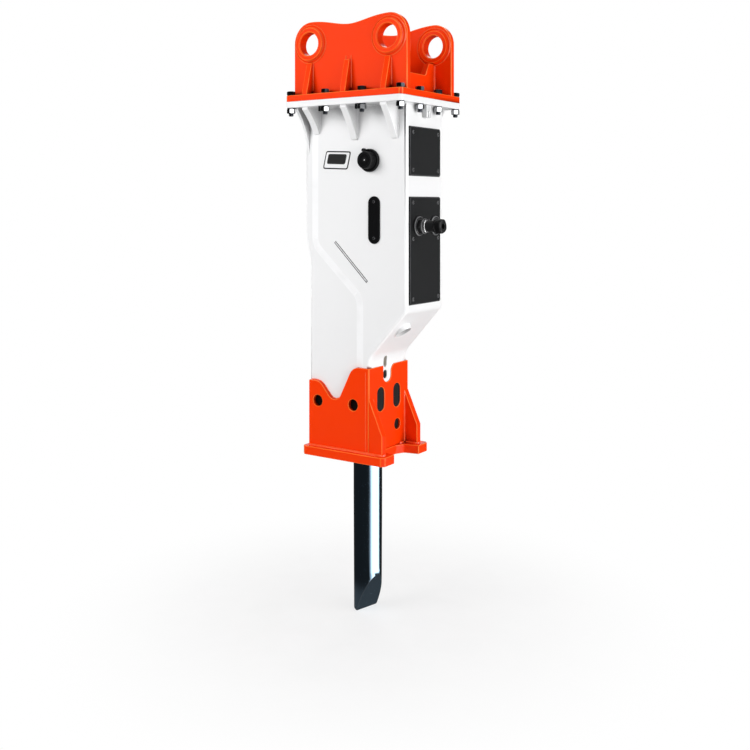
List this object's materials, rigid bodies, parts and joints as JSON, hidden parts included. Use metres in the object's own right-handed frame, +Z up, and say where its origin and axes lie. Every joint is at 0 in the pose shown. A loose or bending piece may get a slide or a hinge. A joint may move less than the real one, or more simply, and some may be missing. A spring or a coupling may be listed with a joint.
{
  "type": "hydraulic breaker hammer",
  "caption": "Box-housed hydraulic breaker hammer with a two-pin top bracket, bolted flange, internal percussion cell, keyed chisel and skirted lower wear bracket.",
  "frame": {"origin": "centre of the stick pin's bore, midway between the two ears of the top bracket", "axes": "+Z up along the working tool, away from its point; +Y along the pin bores; +X towards the face with the service covers and the hydraulic ports"},
  "size_m": [0.77, 0.542, 2.853],
  "materials": {
    "orange_paint": "glossy orange-red enamel on welded steel plate",
    "white_paint": "satin white enamel on welded steel plate",
    "black_paint": "black powder coat, semi-gloss",
    "black_rubber": "moulded black rubber",
    "dark_fastener": "black oxide steel fasteners",
    "bright_nut": "bright phosphated steel nuts",
    "tool_steel": "hardened tool steel, dark, polished",
    "machined_steel": "ground steel",
    "cast_steel": "forged steel bodies, dark grey",
    "polyurethane": "cast polyurethane, amber"
  },
  "bodies": {
    "housing": {"bracket_base_plate": "orange_paint", "ear_plate_near": "orange_paint", "ear_plate_far": "orange_paint", "pin_bosses": "orange_paint", "ear_gussets": "orange_paint", "saddle_plates": "orange_paint", "flange_bolts": "dark_fastener", "flange_washers": "dark_fastener", "flange_nuts": "bright_nut", "housing_flange": "white_paint", "housing_side_near": "white_paint", "housing_side_far": "white_paint", "housing_front": "white_paint", "housing_rear": "white_paint", "housing_gussets": "white_paint", "hose_bracket": "machined_steel", "skirt_side_near": "orange_paint", "skirt_side_far": "orange_paint", "skirt_front": "orange_paint", "skirt_rear": "orange_paint", "claws": "orange_paint", "base_plate": "orange_paint", "upper_cover": "black_paint", "lower_cover": "black_paint", "cover_screws": "dark_fastener", "side_cover": "black_rubber", "side_cover_screws": "dark_fastener", "rubber_plugs": "black_rubber", "port_adapter": "black_paint", "port_cap": "black_rubber", "port_plug": "black_paint", "back_head": "cast_steel", "charging_valve": "machined_steel", "cylinder": "cast_steel", "seal_carrier": "machined_steel", "gas_seals": "black_rubber", "piston_seals": "black_rubber", "front_head": "cast_steel", "thrust_ring": "machined_steel", "upper_bush": "machined_steel", "lower_bush": "machined_steel", "bush_pin": "machined_steel", "tool_keys": "dark_fastener", "stop_pins": "machined_steel", "tie_bolts": "dark_fastener", "tie_nuts": "dark_fastener", "valve_block": "cast_steel", "valve_caps": "cast_steel", "valve_cap_screws": "dark_fastener", "accumulator_body": "cast_steel", "accumulator_cover": "cast_steel", "accumulator_diaphragm": "black_rubber", "accumulator_bolts": "dark_fastener", "upper_cushion": "polyurethane", "lower_cushion": "polyurethane", "side_guides": "polyurethane", "end_guides": "polyurethane"},
    "tool": {"chisel": "tool_steel"},
    "piston": {"piston": "machined_steel"},
    "spool": {"valve_spool": "machined_steel"}
  },
  "joints": [
    {"name": "tool_slide", "type": "slide", "parent": "housing", "child": "tool", "axis": [0, 0, 1], "range_m": [0, 0.075]},
    {"name": "piston_slide", "type": "slide", "parent": "housing", "child": "piston", "axis": [0, 0, 1], "range_m": [0, 0.11]},
    {"name": "spool_slide", "type": "slide", "parent": "housing", "child": "spool", "axis": [0, 0, 1], "range_m": [0, 0.012]}
  ]
}
